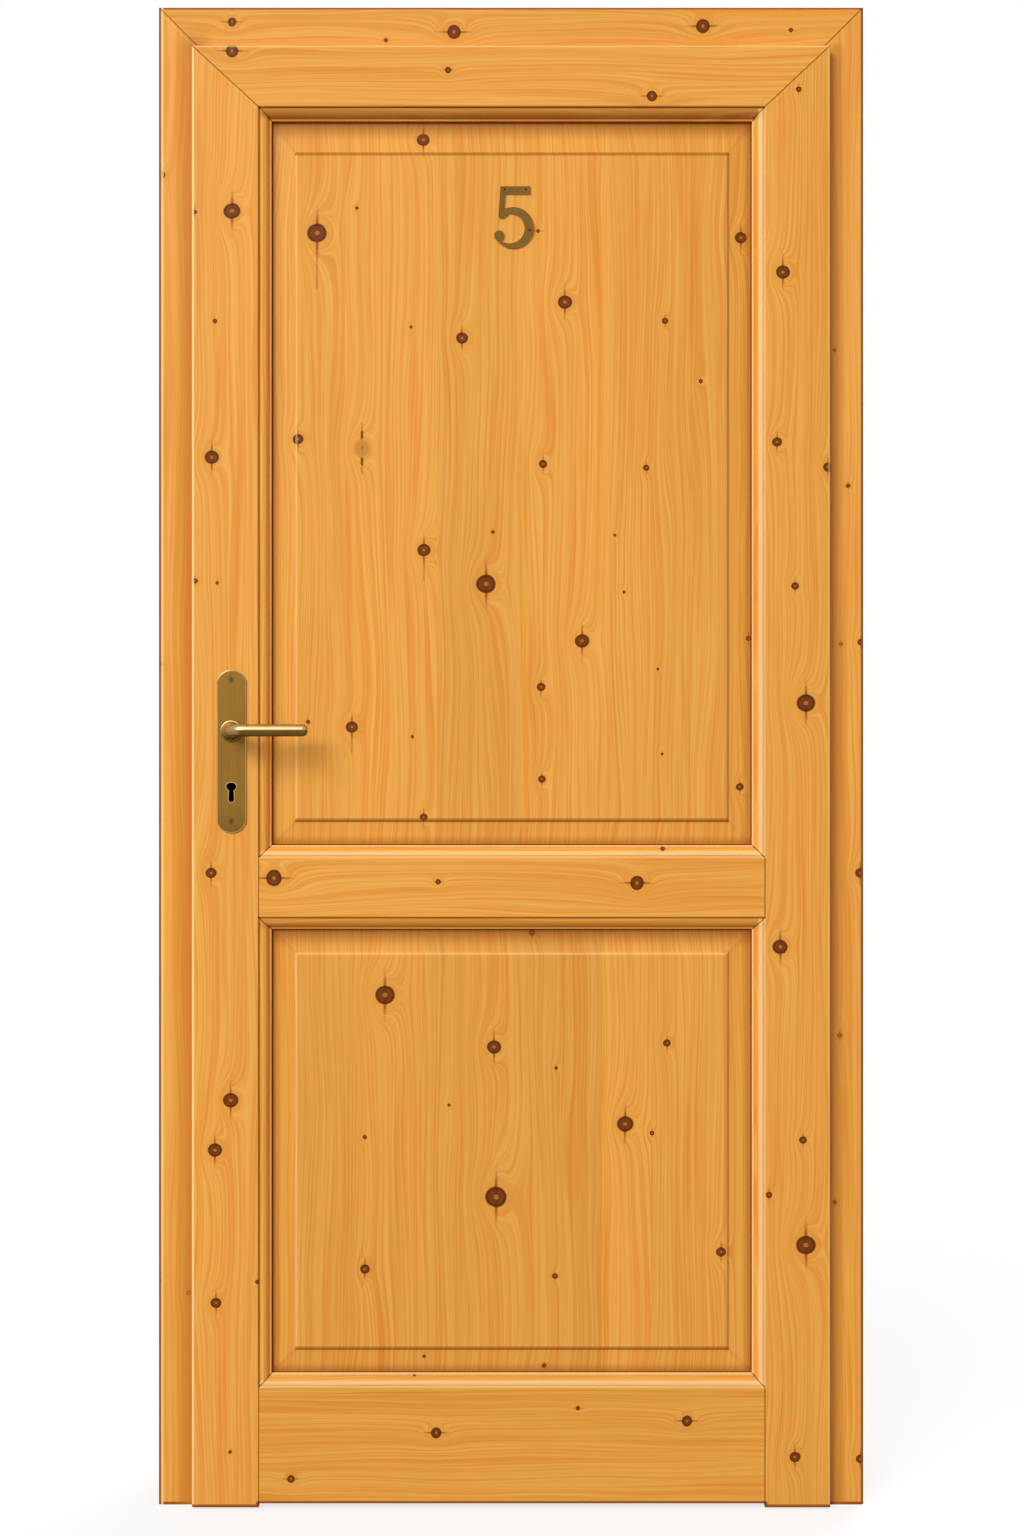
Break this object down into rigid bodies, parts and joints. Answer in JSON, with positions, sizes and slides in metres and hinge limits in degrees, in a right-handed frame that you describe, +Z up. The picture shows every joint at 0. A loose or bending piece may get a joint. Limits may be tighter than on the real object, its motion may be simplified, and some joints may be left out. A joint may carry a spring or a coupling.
{
  "type": "interior door with frame",
  "caption": "Two-panel varnished pine interior door, its rebated leaf swinging on concealed hinges in a mitred frame, with a lever-handle lock and a brass door numeral.",
  "frame": {"origin": "floor level, in the middle of the width and of the depth from the front lever to the back of the rear casing", "axes": "+X to the right as seen from the side the leaf opens to, +Y into the wall, +Z up"},
  "size_m": [0.956, 0.2004, 2.03],
  "materials": {
    "varnished_pine": "satin honey varnish over knotty pine",
    "aged_brass": "brushed brass darkened with age, lacquered",
    "lock_steel": "zinc-plated steel",
    "spring_steel": "blued spring strip",
    "seal_rubber": "soft brown seal"
  },
  "bodies": {
    "frame": {"lock_side_casing": "varnished_pine", "hinge_side_casing": "varnished_pine", "head_casing": "varnished_pine", "lock_jamb": "varnished_pine", "hinge_jamb": "varnished_pine", "head_jamb": "varnished_pine", "rear_lock_casing": "varnished_pine", "rear_hinge_casing": "varnished_pine", "rear_head_casing": "varnished_pine", "lock_side_seal": "seal_rubber", "hinge_side_seal": "seal_rubber", "head_seal": "seal_rubber", "strike_plate": "aged_brass", "strike_screws": "aged_brass", "upper_hinge_bracket": "lock_steel", "lower_hinge_bracket": "lock_steel", "hinge_pins": "lock_steel", "hinge_washers": "aged_brass", "bracket_screws": "lock_steel", "mitre_tongues": "varnished_pine", "lining_screws": "lock_steel"},
    "leaf": {"lock_stile": "varnished_pine", "hinge_stile": "varnished_pine", "top_rail": "varnished_pine", "middle_rail": "varnished_pine", "bottom_rail": "varnished_pine", "upper_panel": "varnished_pine", "lower_panel": "varnished_pine", "leaf_dowels": "varnished_pine", "numeral_five": "aged_brass", "numeral_pins": "aged_brass", "front_plate": "aged_brass", "rear_plate": "aged_brass", "plate_screws": "aged_brass", "lever_bushes": "aged_brass", "lock_case": "lock_steel", "lock_cover": "lock_steel", "lock_forend": "aged_brass", "forend_screws": "aged_brass", "cover_screws": "lock_steel", "latch_spring": "spring_steel", "follower_spring": "spring_steel", "deadbolt_spring": "spring_steel", "upper_hinge_arm": "lock_steel", "lower_hinge_arm": "lock_steel", "arm_screws": "lock_steel"},
    "handle": {"front_lever": "aged_brass", "rear_lever": "aged_brass", "spindle": "lock_steel", "follower": "lock_steel", "lever_grub_screws": "lock_steel"},
    "latch": {"latch_bolt": "lock_steel"},
    "deadbolt": {"deadbolt": "lock_steel"}
  },
  "joints": [
    {"name": "leaf_swing", "type": "hinge", "parent": "frame", "child": "leaf", "pos_m": [0.441, -0.02775, 1], "axis": [0, 0, 1], "range_deg": [0, 95]},
    {"name": "handle_turn", "type": "hinge", "parent": "leaf", "child": "handle", "pos_m": [-0.376, -0.02425, 1.048], "axis": [0, 1, 0], "range_deg": [0, 40], "stiffness_Nm_per_rad": 1.5, "springref_deg": -22.92, "deforming": ["follower_spring", "latch_spring"]},
    {"name": "latch_slide", "type": "slide", "parent": "leaf", "child": "latch", "axis": [1, 0, 0], "range_m": [0, 0.0112]},
    {"name": "deadbolt_slide", "type": "slide", "parent": "leaf", "child": "deadbolt", "axis": [-1, 0, 0], "range_m": [0, 0.018], "deforming": ["deadbolt_spring"]}
  ],
  "couplings": [
    {"joint": "latch_slide", "follows": "handle_turn", "m_per_rad": 0.0158}
  ]
}
